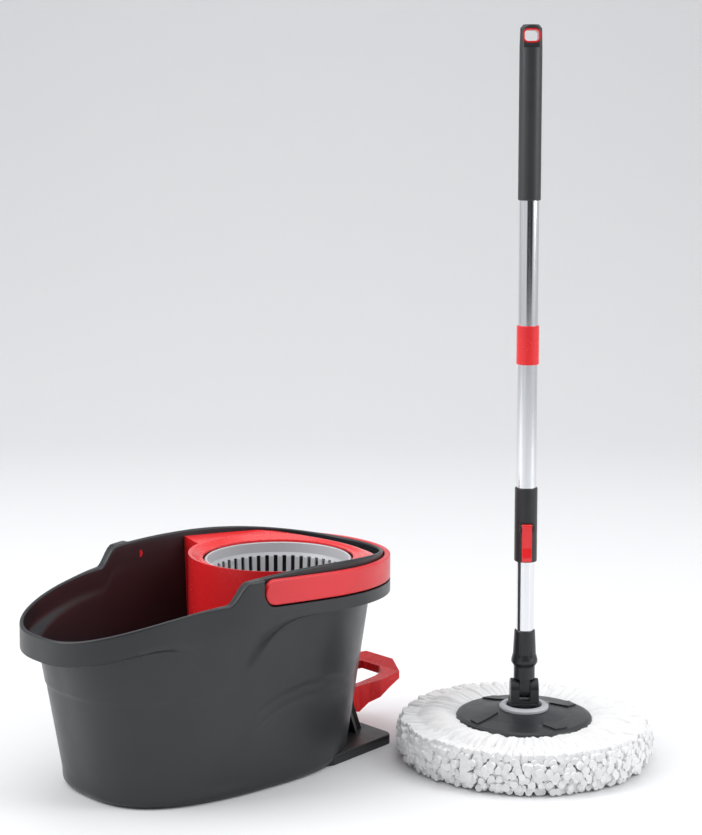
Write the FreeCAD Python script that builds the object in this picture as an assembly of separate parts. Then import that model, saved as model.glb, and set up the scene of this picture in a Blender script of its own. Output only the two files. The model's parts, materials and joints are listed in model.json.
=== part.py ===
import FreeCAD, Part
import math
import os

# Spin mop set: a bucket with a pedal-driven wringer, and a telescopic mop that stands beside it.
# Millimetres. The origin is on the floor below the wringer's spin axis.
# +X points to the pedal, -X to the pouring spout, +Z up.

# ---------------------------------------------------------------- driving dimensions

# bucket outlines: two half superellipses that meet at the widest place
RIM = {"widest_x": -42.0, "half_width": 127.5, "spout": 290.5, "end": 169.5,
       "spout_power": 2.7, "end_power": 2.15}
WALL_TOP = {"widest_x": -48.0, "half_width": 125.0, "spout": 272.0, "end": 160.0,
            "spout_power": 2.7, "end_power": 2.15}
BASE = {"widest_x": -90.0, "half_width": 114.0, "spout": 185.0, "end": 160.0,
        "spout_power": 2.7, "end_power": 2.3}
OUTLINE_POINTS = 48

# bucket heights and walls
RIM_CREST = 245.5
RIM_CREST_X = -60.0
RIM_ARCH_R = 1087.0
WALL_TOP_Z = 216.0
WALL = 2.4
BASE_ROUND = 8.0
FLOOR_UNDER = 12.6
FLOOR_TOP = 15.2
FOOT_RING = 3.4
BAND_HEIGHT = 27.0
LIP_WIDTH = 4.6
LEDGE_DROP = 24.0
LOW_RIM = 219.2
SPOUT_DIP = 29.5
STEP_LOW_X = -172.0
STEP_HIGH_X = -147.0
SHOULDER_PROUD = 8.7
SHOULDER_THICK = 14.0
SHOULDER_START_X = -150.0

# carrying handle
HANDLE_PIVOT_X = -113.0
HANDLE_PIVOT_Z = 227.0
HANDLE_BAND = 28.0
HANDLE_SLOPE = 2.8
HANDLE_GAP = 1.5
HANDLE_RECESS_GAP = 2.0
HANDLE_STUD_R = 4.5
HANDLE_STUD_GAP = 0.08
HANDLE_EDGE = 1.6

# wringer basket and splash guard
BASKET_R = 86.8
BASKET_MOUTH_R = 83.6
BASKET_FOOT_R = 79.0
BASKET_WALL = 2.4
BASKET_TOP = 226.5
BASKET_BOTTOM = 118.0
BASKET_FLOOR = 3.0
BASKET_RIM_DEPTH = 11.0
SLOT_COUNT = 48
SLOT_WIDTH = 4.8
SLOT_TOP = 214.0
SLOT_BOTTOM = 140.0
DRAIN_COUNT = 12
GUARD_HOLE_R = 89.0
GUARD_FRONT_R = 106.0
GUARD_WING_X = -46.0
GUARD_LIP_Z = 228.2
GUARD_DISH_RISE = 5.0
GUARD_RIM_DROP = 4.0
GUARD_SKIRT_BOTTOM = 112.0
GUARD_WALL = 2.4
GUARD_CLEARANCE = 0.5

# drive train
MODULE = 2.0
PINION_TEETH = 9
SECTOR_TEETH_FULL = 63
CROWN_TEETH = 32
SPUR_TEETH = 8
TOOTH_SHARE = 0.40
AXLE_Z = 44.0
AXLE_R = 3.0
RUN_GAP = 0.06
SECTOR_THICK = 6.0
SECTOR_Y = -18.0
SECTOR_LOW_ANGLE = 35.0
SECTOR_HIGH_ANGLE = 7.0
CROWN_DISC = 3.0
SHAFT_R = 5.0
TUNNEL_HALF_WIDTH = 32.0
TUNNEL_TOP = 96.0
TUNNEL_BACK_X = -48.0
POCKET_X = 61.5
POCKET_HALF_WIDTH = 54.0
POCKET_TOP = 66.0
PEDAL_OPENING_TOP = 62.0

# pedal and its base
PEDAL_HUB_R = 8.0
PEDAL_ARM_HALF = 38.0
EAR_GAP = 1.2
EAR_THICK = 5.0
EAR_TOP_R = 9.0
PLATE_THICK = 11.0
PLATE_END_X = 109.0
PLATE_END_HALF = 85.0
PLATE_ROOT_X = 0.0
PLATE_ROOT_HALF = 101.0
PLATE_BACK_X = -60.0
PLATE_BACK_HALF = 84.0
PLATE_GAP = 0.4
GEAR_WELL_FLOOR = 3.0
SCREW_R = 1.8
SCREW_BITE = 2.0

# mop, built upright about its own axis and then placed
MOP_X = 192.0
MOP_Y = -219.2
MOP_TURN = -41.92
DISC_R = 80.8
DISC_RIM_TOP = 50.0
DISC_SKIRT_BOTTOM = 38.0
DISC_CROWN = 57.0
STRANDS_R = 154.0
STRANDS_TOP = 50.0
RING_OUTER_R = 73.0
RING_INNER_R = 58.0
HUB_RING_R = 28.7
YOKE_WIDTH = 32.6
YOKE_BOTTOM = 62.6
TILT_Z = 79.0
YOKE_TOP_R = 12.8
TONGUE_THICK = 12.0
PIN_R = 2.5
LOWER_TUBE_R = 10.3
OUTER_TUBE_R = 11.4
TUBE_WALL = 0.7
LOWER_TUBE_TOP = 740.0
CONNECTOR_TOP = 150.0
CLAMP_BOTTOM = 231.5
CLAMP_TOP = 318.0
CLAMP_R = 13.2
COLLAR_LOW = 461.5
COLLAR_HIGH = 506.5
COLLAR_R = 13.05
GRIP_LOW = 650.3
GRIP_R = 13.1
MOP_TOP = 850.0
LOOP_HOLE_WIDTH = 16.3
LOOP_HOLE_HEIGHT = 12.3
LEVER_WIDTH = 11.4
LEVER_LOW = 233.5
LEVER_HIGH = 277.0

X_AXIS = FreeCAD.Vector(1, 0, 0)
Y_AXIS = FreeCAD.Vector(0, 1, 0)
Z_AXIS = FreeCAD.Vector(0, 0, 1)


# ---------------------------------------------------------------- helpers

def vec(x, y, z=0.0):
    return FreeCAD.Vector(x, y, z)


def rod(radius, z0, z1, x=0.0, y=0.0):
    """Upright cylinder."""
    return Part.makeCylinder(radius, z1 - z0, vec(x, y, z0))


def pipe(outer, inner, z0, z1, x=0.0, y=0.0):
    """Upright tube."""
    return rod(outer, z0, z1, x, y).cut(rod(inner, z0 - 1, z1 + 1, x, y))


def cross_rod(radius, y0, y1, x, z):
    """Cylinder along Y."""
    return Part.makeCylinder(radius, y1 - y0, vec(x, y0, z), Y_AXIS)


def block(x0, x1, y0, y1, z0, z1):
    return Part.makeBox(x1 - x0, y1 - y0, z1 - z0, vec(x0, y0, z0))


def turned(points):
    """Solid of revolution about Z from (radius, height) points."""
    face = Part.Face(Part.makePolygon([vec(r, 0, z) for r, z in points + points[:1]]))
    return face.revolve(vec(0, 0), Z_AXIS, 360)


def side_prism(points, half_width):
    """Prism along Y from (x, z) points."""
    face = Part.Face(Part.makePolygon([vec(x, -half_width, z) for x, z in points + points[:1]]))
    return face.extrude(vec(0, 2 * half_width, 0))


def plan_prism(points, z0, z1):
    """Prism along Z from (x, y) points."""
    face = Part.Face(Part.makePolygon([vec(x, y, z0) for x, y in points + points[:1]]))
    return face.extrude(vec(0, 0, z1 - z0))


def edges_where(shape, test):
    return [edge for edge in shape.Edges if test(edge)]


def is_upright(edge):
    box = edge.BoundBox
    return box.XLength < 0.01 and box.YLength < 0.01 and box.ZLength > 0.5


def fuse_all(shapes):
    return shapes[0].multiFuse(shapes[1:]).removeSplitter()


def save(name, shape):
    if shape.ShapeType == "Compound" and len(shape.Solids) == 1:
        shape = shape.Solids[0]
    shape.exportStep("parts/" + name + ".step")


# ---------------------------------------------------------------- bucket outlines

def mixed(low, high, share):
    return {key: low[key] + (high[key] - low[key]) * share for key in low}


def wall_plan(z):
    """Outline values of the outer wall at height z."""
    return mixed(BASE, WALL_TOP, z / WALL_TOP_Z)


def outline_points(plan, offset):
    """Points of an outline, moved outwards by offset."""
    points = []
    for i in range(OUTLINE_POINTS):
        angle = 2 * math.pi * i / OUTLINE_POINTS
        c, s = math.cos(angle), math.sin(angle)
        reach, power = (plan["end"], plan["end_power"])
        if c < 0:
            reach, power = (plan["spout"], plan["spout_power"])
        along = math.copysign(abs(c) ** (2 / power), c)
        across = math.copysign(abs(s) ** (2 / power), s)
        normal_x = math.copysign(abs(along) ** (power - 1), along) / reach
        normal_y = math.copysign(abs(across) ** (power - 1), across) / plan["half_width"]
        size = math.hypot(normal_x, normal_y)
        x = plan["widest_x"] + reach * along + offset * normal_x / size
        y = plan["half_width"] * across + offset * normal_y / size
        points.append((x, y))
    return points


def outline_wire(plan, offset, z):
    curve = Part.BSplineCurve()
    curve.interpolate(Points=[vec(x, y, z) for x, y in outline_points(plan, offset)], PeriodicFlag=True)
    return Part.Wire([curve.toShape()])


def outline_prism(plan, offset, z0, z1):
    return Part.Face(outline_wire(plan, offset, z0)).extrude(vec(0, 0, z1 - z0))


def inside_solid(gap):
    """Hollow of the bucket less a gap: the tapered part, and a wider part inside the rim band."""
    heights = (FLOOR_TOP, 60, 130, WALL_TOP_Z, RIM_CREST + 8)
    wires = [outline_wire(wall_plan(z), -WALL - gap, z) for z in heights]
    lower = Part.makeLoft(wires, True, True)
    upper = outline_prism(RIM, -LIP_WIDTH - gap, FLOOR_TOP, RIM_CREST + 8).cut(below_rim(LEDGE_DROP - gap))
    return lower.fuse(upper)


def rim_height(x):
    return RIM_CREST - (x - RIM_CREST_X) ** 2 / (2 * RIM_ARCH_R)


def below_rim(drop):
    """Everything below the rim line, lowered by drop."""
    spout_x = RIM["widest_x"] - RIM["spout"]
    end_x = RIM["widest_x"] + RIM["end"]
    low = []
    steps = 8
    for i in range(steps + 1):
        share = 1 - i / steps
        low.append(vec(STEP_LOW_X + (spout_x - STEP_LOW_X) * share, 0,
                       LOW_RIM - SPOUT_DIP * share ** 1.5 - drop))
    high = [vec(x, 0, rim_height(x) - drop) for x in (STEP_HIGH_X, RIM_CREST_X, end_x)]
    dip_curve = Part.BSplineCurve()
    dip_curve.interpolate(low)
    middle = vec((STEP_LOW_X + STEP_HIGH_X) / 2, 0, (low[-1].z + high[0].z) / 2)
    blend = 9.0
    step = Part.BezierCurve()
    step.setPoles([low[-1], low[-1] + vec(blend, 0, 1.2), middle - vec(3.5, 0, 5), middle,
                   middle + vec(3.5, 0, 5), high[0] - vec(blend, 0, -0.5), high[0]])
    crest = Part.Arc(high[0], high[1], high[2])
    far_left = spout_x - 60
    far_right = end_x + 60
    tip_z = low[0].z
    end_z = high[2].z
    edges = [Part.LineSegment(vec(far_left, 0, -50), vec(far_left, 0, tip_z)).toShape(),
             Part.LineSegment(vec(far_left, 0, tip_z), low[0]).toShape(),
             dip_curve.toShape(), step.toShape(), crest.toShape(),
             Part.LineSegment(high[2], vec(far_right, 0, end_z)).toShape(),
             Part.LineSegment(vec(far_right, 0, end_z), vec(far_right, 0, -50)).toShape(),
             Part.LineSegment(vec(far_right, 0, -50), vec(far_left, 0, -50)).toShape()]
    face = Part.Face(Part.Wire(edges))
    reach = RIM["half_width"] + 60
    face.translate(vec(0, -reach, 0))
    return face.extrude(vec(0, 2 * reach, 0))


# ---------------------------------------------------------------- carrying handle

def handle_side(grow, open_top):
    """Side view of the handle band, grown outwards: a rounded end and a long sloping band."""
    half = HANDLE_BAND / 2 + grow
    far = RIM["end"] + 120
    slope = Part.makeBox(far, 400, 2 * half, vec(0, -200, -half))
    if open_top:
        slope = Part.makeBox(far, 400, 2 * half + 60, vec(0, -200, -half))
        slope = slope.fuse(Part.makeBox(half, 400, 60, vec(-half, -200, 0)))
    nose = Part.makeCylinder(half, 400, vec(0, -200, 0), Y_AXIS)
    shape = slope.fuse(nose)
    shape.rotate(vec(0, 0), Y_AXIS, HANDLE_SLOPE)
    shape.translate(vec(HANDLE_PIVOT_X, 0, HANDLE_PIVOT_Z))
    return shape


def bucket_handle():
    inner = HANDLE_GAP
    outer = SHOULDER_PROUD
    ring = outline_prism(RIM, outer, 150, 300).cut(outline_prism(RIM, inner, 149, 301))
    band = ring.common(handle_side(0, False))
    band = band.makeFillet(HANDLE_EDGE, band.Edges)
    studs = []
    for side in (-1, 1):
        y_in = RIM_AT_PIVOT - LIP_WIDTH
        y_out = RIM_AT_PIVOT + HANDLE_GAP + 3.0
        y0, y1 = sorted((side * y_in, side * y_out))
        studs.append(cross_rod(HANDLE_STUD_R, y0, y1, HANDLE_PIVOT_X, HANDLE_PIVOT_Z))
    return fuse_all([band] + studs)


def half_width_at(plan, x):
    """Half width of an outline at x."""
    reach, power = (plan["end"], plan["end_power"])
    if x < plan["widest_x"]:
        reach, power = (plan["spout"], plan["spout_power"])
    share = abs(x - plan["widest_x"]) / reach
    return plan["half_width"] * (1 - share ** power) ** (1 / power)


RIM_AT_PIVOT = half_width_at(RIM, HANDLE_PIVOT_X)


# ---------------------------------------------------------------- bucket

def plate_outline(grow):
    """Outline of the pedal's base plate, from under the bucket to its outer end."""
    half = [(PLATE_BACK_X - grow, PLATE_BACK_HALF + grow),
            (PLATE_ROOT_X, PLATE_ROOT_HALF + grow),
            (PLATE_END_X - 6, PLATE_END_HALF + grow),
            (PLATE_END_X + grow, PLATE_END_HALF - 8 + grow)]
    return half + [(x, -y) for x, y in reversed(half)]


def bucket_body():
    sections = [outline_wire(wall_plan(0), -BASE_ROUND, 0),
                outline_wire(wall_plan(0), -BASE_ROUND * 0.3, BASE_ROUND * 0.3)]
    sections += [outline_wire(wall_plan(z), 0, z) for z in (BASE_ROUND, 60, 130, WALL_TOP_Z, RIM_CREST + 6)]
    outer = Part.makeLoft(sections, True, True)
    band = outline_prism(RIM, 0, FLOOR_TOP, RIM_CREST + 6).cut(below_rim(BAND_HEIGHT))
    shoulder = outline_prism(RIM, SHOULDER_PROUD, 0, RIM_CREST + 6)
    ledge_side = side_prism(shoulder_side(), 300)
    shoulder = shoulder.common(ledge_side).cut(handle_side(HANDLE_RECESS_GAP, True))
    band_core = outline_prism(RIM, 0, FLOOR_TOP, RIM_CREST + 6)
    outer = outer.fuse(band).fuse(shoulder).fuse(band_core.common(ledge_side))
    pocket = block(POCKET_X, 200, -POCKET_HALF_WIDTH, POCKET_HALF_WIDTH, -1, POCKET_TOP)
    outer = outer.cut(pocket)
    inner = inside_solid(0)
    pocket_wall = block(POCKET_X - WALL, 200, -POCKET_HALF_WIDTH - WALL, POCKET_HALF_WIDTH + WALL,
                        0, POCKET_TOP + WALL)
    tunnel = block(TUNNEL_BACK_X, 200, -TUNNEL_HALF_WIDTH, TUNNEL_HALF_WIDTH, 0, TUNNEL_TOP)
    inner = inner.cut(pocket_wall).cut(tunnel)
    body = outer.cut(inner)
    under = Part.makeLoft([outline_wire(wall_plan(z), -FOOT_RING, z) for z in (-1, FLOOR_UNDER)], True, True)
    under = under.cut(block(POCKET_X - WALL, 200, -200, 200, -2, FLOOR_UNDER + 1))
    body = body.cut(under)
    body = body.cut(plan_prism(plate_outline(PLATE_GAP), -1, PLATE_THICK + PLATE_GAP))
    tunnel_inside = block(TUNNEL_BACK_X + WALL, POCKET_X - WALL, -TUNNEL_HALF_WIDTH + WALL,
                          TUNNEL_HALF_WIDTH - WALL, 0, TUNNEL_TOP - WALL)
    doorway = block(POCKET_X - WALL - 1, POCKET_X + 20, -TUNNEL_HALF_WIDTH + WALL,
                    TUNNEL_HALF_WIDTH - WALL, 0, PEDAL_OPENING_TOP)
    body = body.cut(tunnel_inside).cut(doorway)
    boss = rod(BOSS_R, BUSH_LOW - 2, BOSS_TOP)
    body = body.fuse(boss).cut(rod(BUSH_R, BUSH_LOW - 3, BOSS_TOP + 1))
    body = body.common(below_rim(0))
    for x, y in SCREW_PLACES:
        body = body.cut(rod(SCREW_R, FLOOR_UNDER - 3, FLOOR_UNDER + SCREW_BITE, x, y))
    for side in (-1, 1):
        y0, y1 = sorted((side * (RIM_AT_PIVOT - 30), side * (RIM_AT_PIVOT + 0.5)))
        body = body.cut(cross_rod(HANDLE_STUD_R + HANDLE_STUD_GAP, y0, y1, HANDLE_PIVOT_X, HANDLE_PIVOT_Z))
    return body


BOSS_R = 11.0
BOSS_TOP = TUNNEL_TOP + 6
BUSH_R = 8.0
BUSH_LOW = TUNNEL_TOP - 12
BUSH_FLANGE = 2.0


def shoulder_side():
    """Side view of the thick shoulder that carries the handle."""
    slope = math.tan(math.radians(HANDLE_SLOPE))
    run = RIM["widest_x"] + RIM["end"] + 30 - HANDLE_PIVOT_X
    bottom = HANDLE_PIVOT_Z - HANDLE_BAND / 2 - HANDLE_RECESS_GAP - SHOULDER_THICK
    return [(SHOULDER_START_X, bottom), (HANDLE_PIVOT_X, bottom),
            (HANDLE_PIVOT_X + run, bottom - run * slope),
            (HANDLE_PIVOT_X + run, RIM_CREST + 10), (SHOULDER_START_X, RIM_CREST + 10)]



# ---------------------------------------------------------------- splash guard

def guard_plan():
    """Flat shape of the guard: a round front about the wringer and a wide part to the walls."""
    front = Part.makeCylinder(GUARD_FRONT_R, 300)
    wide = block(GUARD_WING_X, 300, -200, 200, 0, 300)
    return front.fuse(wide).removeSplitter()


def guard_profile(drop):
    """Radial section of the dished flange, as (radius, height) points."""
    lip = GUARD_LIP_Z - drop
    dish = lip + GUARD_DISH_RISE
    return [(GUARD_HOLE_R, lip), (GUARD_HOLE_R + 4, lip), (GUARD_FRONT_R - 4, dish),
            (GUARD_FRONT_R + 2, dish + 1), (GUARD_FRONT_R + 60, dish + 12)]


def splash_guard():
    flange_points = guard_profile(0) + list(reversed(guard_profile(GUARD_WALL)))
    flange = turned(flange_points)
    below = turned([(0, 0)] + [(0, GUARD_LIP_Z - 1)] + guard_profile(1.0) + [(GUARD_FRONT_R + 60, 0)])
    plan = guard_plan()
    inset = Part.makeCylinder(GUARD_FRONT_R - GUARD_WALL, 300).fuse(
        block(GUARD_WING_X + GUARD_WALL, 300, -200, 200, 0, 300))
    skirt = plan.cut(inset).common(below)
    skirt = skirt.cut(block(-300, 300, -300, 300, -10, GUARD_SKIRT_BOTTOM))
    guard = flange.common(plan).fuse(skirt)
    guard = guard.common(inside_solid(GUARD_CLEARANCE)).common(below_rim(GUARD_RIM_DROP))
    return guard.removeSplitter()


# ---------------------------------------------------------------- wringer basket

def wringer_basket():
    rim_z = BASKET_TOP - BASKET_RIM_DEPTH
    under = BASKET_R - 3.2
    outer = [(0, BASKET_BOTTOM), (BASKET_FOOT_R - 3, BASKET_BOTTOM), (BASKET_FOOT_R, BASKET_BOTTOM + 3),
             (under, rim_z), (BASKET_R, rim_z + 1.5), (BASKET_R, BASKET_TOP - 1.2),
             (BASKET_R - 1.2, BASKET_TOP), (BASKET_MOUTH_R + 0.8, BASKET_TOP),
             (BASKET_MOUTH_R, BASKET_TOP - 0.8), (BASKET_MOUTH_R, rim_z - 1),
             (under - BASKET_WALL - 0.6, rim_z - 6),
             (BASKET_FOOT_R - BASKET_WALL, BASKET_BOTTOM + BASKET_FLOOR + 2),
             (BASKET_FOOT_R - BASKET_WALL - 2, BASKET_BOTTOM + BASKET_FLOOR), (0, BASKET_BOTTOM + BASKET_FLOOR)]
    shell = turned(outer)
    slots = []
    for i in range(SLOT_COUNT):
        slot = block(BASKET_FOOT_R - 8, BASKET_R + 4, -SLOT_WIDTH / 2, SLOT_WIDTH / 2,
                     SLOT_BOTTOM, SLOT_TOP - 3)
        slot.rotate(vec(0, 0), Z_AXIS, 360 * i / SLOT_COUNT)
        slots.append(slot)
    for i in range(DRAIN_COUNT):
        drain = block(44, 68, -2.5, 2.5, BASKET_BOTTOM - 1, BASKET_BOTTOM + BASKET_FLOOR + 1)
        drain.rotate(vec(0, 0), Z_AXIS, 360 * (i + 0.5) / DRAIN_COUNT)
        slots.append(drain)
    shell = shell.cut(Part.makeCompound(slots))
    shell = shell.cut(hub_screw_rods(HUB_SCREW_R, BASKET_BOTTOM - 1, BASKET_BOTTOM + BASKET_FLOOR + 1))
    return shell.cut(rod(HUB_SEAT_R, BASKET_BOTTOM - 1, BASKET_BOTTOM + BASKET_FLOOR + 1))


HUB_SEAT_R = 20.0
HUB_FLANGE_R = 28.0
HUB_SCREW_CIRCLE = 24.0
HUB_SCREW_R = 1.5
CLUTCH_R = 15.0
CLUTCH_LOW = BASKET_BOTTOM - 10


def basket_hub():
    """Hub that holds the one-way clutch and passes through the basket floor."""
    top = BASKET_BOTTOM + BASKET_FLOOR
    low = CLUTCH_LOW
    body = rod(HUB_SEAT_R, low, top + 2).fuse(rod(HUB_FLANGE_R, top, top + 3))
    dome = turned([(0, top + 3), (HUB_FLANGE_R, top + 3), (12, top + 20), (0, top + 22)])
    body = body.fuse(dome).cut(rod(CLUTCH_R, low - 1, top - 1)).removeSplitter()
    return body.cut(hub_screw_rods(HUB_SCREW_R, top - 1, top + 2))


def one_way_clutch():
    return pipe(CLUTCH_R, SHAFT_R, CLUTCH_LOW, BASKET_BOTTOM + BASKET_FLOOR - 1.2)


def hub_screw_rods(radius, z0, z1):
    rods = []
    for i in range(4):
        angle = math.radians(45 + 90 * i)
        rods.append(rod(radius, z0, z1, HUB_SCREW_CIRCLE * math.cos(angle), HUB_SCREW_CIRCLE * math.sin(angle)))
    return Part.makeCompound(rods)


def hub_screws():
    """Screws from below that hold the basket floor to the hub's flange."""
    floor = BASKET_BOTTOM + BASKET_FLOOR
    heads = hub_screw_rods(2.6, BASKET_BOTTOM - 1.8, BASKET_BOTTOM)
    shanks = hub_screw_rods(HUB_SCREW_R, BASKET_BOTTOM, floor + 2)
    return Part.makeCompound([head.fuse(shank).removeSplitter()
                              for head, shank in zip(heads.Solids, shanks.Solids)])


# ---------------------------------------------------------------- gear train

def wheel(teeth, thick, first=0, count=None, phase=0.0):
    """Straight toothed wheel about Z from z=0, with an optional part of its teeth."""
    pitch_r = MODULE * teeth / 2
    root_r = pitch_r - 1.15 * MODULE
    tip_r = pitch_r + 0.85 * MODULE
    step = 2 * math.pi / teeth
    shape = Part.makeCylinder(root_r + 0.02, thick)
    wedges = []
    for i in range(first, first + (count or teeth)):
        middle = i * step + phase
        half_root = step * 0.5 * (TOOTH_SHARE + 0.12)
        half_pitch = step * 0.5 * TOOTH_SHARE
        half_tip = step * 0.5 * (TOOTH_SHARE - 0.17)
        points = []
        for radius, half in ((root_r - 0.6, -half_root), (pitch_r, -half_pitch), (tip_r, -half_tip),
                             (tip_r, half_tip), (pitch_r, half_pitch), (root_r - 0.6, half_root)):
            points.append(vec(radius * math.cos(middle + half), radius * math.sin(middle + half)))
        face = Part.Face(Part.makePolygon(points + points[:1]))
        wedges.append(face.extrude(vec(0, 0, thick)))
    return fuse_all([shape] + wedges)


def axis_to_y(shape, y):
    """Lay a shape made about Z onto the Y direction: Z becomes +Y, X becomes -Z, Y becomes -X."""
    shape.rotate(vec(0, 0), X_AXIS, -90)
    shape.translate(vec(0, y, 0))
    return shape


PEDAL_X = MODULE * (SECTOR_TEETH_FULL + PINION_TEETH) / 2
SECTOR_PITCH_R = MODULE * SECTOR_TEETH_FULL / 2
PINION_PITCH_R = MODULE * PINION_TEETH / 2
CROWN_PITCH_R = MODULE * CROWN_TEETH / 2
SPUR_PITCH_R = MODULE * SPUR_TEETH / 2
CROWN_FACE_Y = -SPUR_PITCH_R
SPUR_Z = AXLE_Z + CROWN_PITCH_R


def compound_gear():
    """Small wheel driven by the pedal's sector, in one piece with the crown wheel."""
    pinion = wheel(PINION_TEETH, SECTOR_THICK + 2)
    pinion = axis_to_y(pinion, SECTOR_Y - SECTOR_THICK / 2 - 1)
    root_y = CROWN_FACE_Y - 1.15 * MODULE
    disc = cross_rod(CROWN_PITCH_R + 4, root_y - CROWN_DISC, root_y, 0, 0)
    hub = cross_rod(AXLE_R + 4, SECTOR_Y + SECTOR_THICK / 2, -4.0, 0, 0)
    teeth = []
    step = 2 * math.pi / CROWN_TEETH
    inner_r = CROWN_PITCH_R - 3
    outer_r = CROWN_PITCH_R + 3
    tip_y = CROWN_FACE_Y + 0.85 * MODULE
    for i in range(CROWN_TEETH):
        sections = []
        for radius in (inner_r, outer_r):
            pitch = 2 * math.pi * radius / CROWN_TEETH
            half_root = pitch * 0.5 * (TOOTH_SHARE + 0.10)
            half_tip = pitch * 0.5 * (TOOTH_SHARE - 0.20)
            ring = [(-half_root, root_y - 0.4), (-half_tip, tip_y), (half_tip, tip_y), (half_root, root_y - 0.4)]
            sections.append(Part.makePolygon([vec(x, y, radius) for x, y in ring + ring[:1]]))
        tooth = Part.makeLoft(sections, True, True)
        tooth.rotate(vec(0, 0), Y_AXIS, math.degrees((i + 0.5) * step))
        teeth.append(tooth)
    gear = fuse_all([pinion, disc, hub] + teeth)
    gear = gear.cut(cross_rod(AXLE_R + RUN_GAP, -60, 60, 0, 0))
    gear.translate(vec(0, 0, AXLE_Z))
    return gear


def drive_pinion():
    """Upright wheel turned by the crown wheel; it is fixed to the drive shaft."""
    low = SPUR_Z - 3.6
    gear = wheel(SPUR_TEETH, 7.2)
    gear.translate(vec(0, 0, low))
    gear = gear.fuse(rod(SHAFT_R + 0.6, low, BUSH_LOW - 1.0))
    return gear.cut(rod(SHAFT_R - 1.5, low - 1, BUSH_LOW + 1)).removeSplitter()


def drive_shaft():
    """Steel shaft: thin end in the drive pinion, full diameter through bushes and clutch."""
    low = SPUR_Z - 3.6
    thin = rod(SHAFT_R - 1.5, low, BUSH_LOW - 1.0)
    thick = rod(SHAFT_R, BUSH_LOW - 1.0, BASKET_BOTTOM + BASKET_FLOOR - 1.2)
    return thin.fuse(thick)


def shaft_bush(z0, z1):
    """Plain bush for the drive shaft, with a flange on top where it leaves the boss."""
    bush = rod(BUSH_R, z0, z1)
    if z1 > TUNNEL_TOP:
        bush = bush.fuse(rod(BUSH_R + 2, z1, z1 + BUSH_FLANGE))
    return bush.cut(rod(SHAFT_R + RUN_GAP, z0 - 1, z1 + BUSH_FLANGE + 1)).removeSplitter()


def lower_bush():
    return shaft_bush(BUSH_LOW, BUSH_LOW + 7)


def upper_bush():
    return shaft_bush(BOSS_TOP - 7, BOSS_TOP)


def sector_gear():
    """Toothed sector on the pedal's hub, in mesh with the small wheel."""
    step = 360 / SECTOR_TEETH_FULL
    first = -math.floor(SECTOR_LOW_ANGLE / step)
    count = math.floor(SECTOR_HIGH_ANGLE / step) - first + 1
    gear = wheel(SECTOR_TEETH_FULL, SECTOR_THICK, first, count, math.pi / SECTOR_TEETH_FULL)
    reach = SECTOR_PITCH_R + 20
    low = math.radians(first * step - 1.2)
    high = math.radians((first + count) * step + 1.2)
    wedge = Part.Face(Part.makePolygon([
        vec(0, 0), vec(reach * math.cos(low), reach * math.sin(low)), vec(reach * 1.2, 0),
        vec(reach * math.cos(high), reach * math.sin(high)), vec(0, 0)])).extrude(vec(0, 0, SECTOR_THICK))
    gear = gear.common(wedge)
    window = Part.makeCylinder(SECTOR_PITCH_R - 9, SECTOR_THICK).cut(
        Part.makeCylinder(PEDAL_HUB_R + 10, SECTOR_THICK))
    ribs = []
    for angle in (first * step + 3, (first + count / 2) * step, (first + count) * step - 3):
        rib = block(0, SECTOR_PITCH_R, -3.5, 3.5, 0, SECTOR_THICK)
        rib.rotate(vec(0, 0), Z_AXIS, angle)
        ribs.append(rib)
    window = window.cut(ribs[0]).cut(ribs[1]).cut(ribs[2])
    gear = gear.cut(window)
    gear = gear.fuse(Part.makeCylinder(PEDAL_HUB_R + 4, SECTOR_THICK))
    gear = gear.cut(Part.makeCylinder(PEDAL_HUB_R, SECTOR_THICK)).removeSplitter()
    # teeth were made about Z with zero along X: turn them to face the small wheel
    gear.rotate(vec(0, 0), X_AXIS, 90)
    gear.rotate(vec(0, 0), Z_AXIS, 180)
    gear.translate(vec(PEDAL_X, SECTOR_Y - SECTOR_THICK / 2, AXLE_Z))
    return gear


# ---------------------------------------------------------------- pedal and base

def pedal():
    side = [(PEDAL_X - 4, AXLE_Z + 6), (80, 55), (92, 60.5), (109, 62.5), (136, 67.5), (151, 71.5), (164, 79),
            (165, 77), (164, 70), (151, 62.5), (137, 54), (123, 43.7), (109.4, 38.2), (96, 28.8), (86, 31),
            (PEDAL_X - 2, AXLE_Z - 7)]
    plan = [(PEDAL_X - 9, -PEDAL_ARM_HALF), (96, -PEDAL_ARM_HALF), (109.4, -40.5), (123, -46.5),
            (151, -50), (165, -22)]
    plan = plan + [(x, -y) for x, y in reversed(plan)]
    loop = side_prism(side, 60).common(plan_prism(plan, 0, 120))
    hole = [(92, -28), (112, -29), (128, -31), (141, -29), (149, -16)]
    hole = hole + [(x, -y) for x, y in reversed(hole)]
    cut = plan_prism(hole, 0, 120)
    cut = cut.makeFillet(5.0, edges_where(cut, is_upright))
    loop = loop.cut(cut)
    between = block(PEDAL_X - 20, 93, -PEDAL_HUB_HALF, PEDAL_HUB_HALF, 0, 120)
    loop = loop.cut(between)
    hub = cross_rod(PEDAL_HUB_R, -PEDAL_ARM_HALF, PEDAL_ARM_HALF, PEDAL_X, AXLE_Z)
    body = fuse_all([loop, hub])
    return body.cut(cross_rod(AXLE_R + RUN_GAP, -60, 60, PEDAL_X, AXLE_Z)).removeSplitter()


PEDAL_HUB_HALF = 29.0


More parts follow.
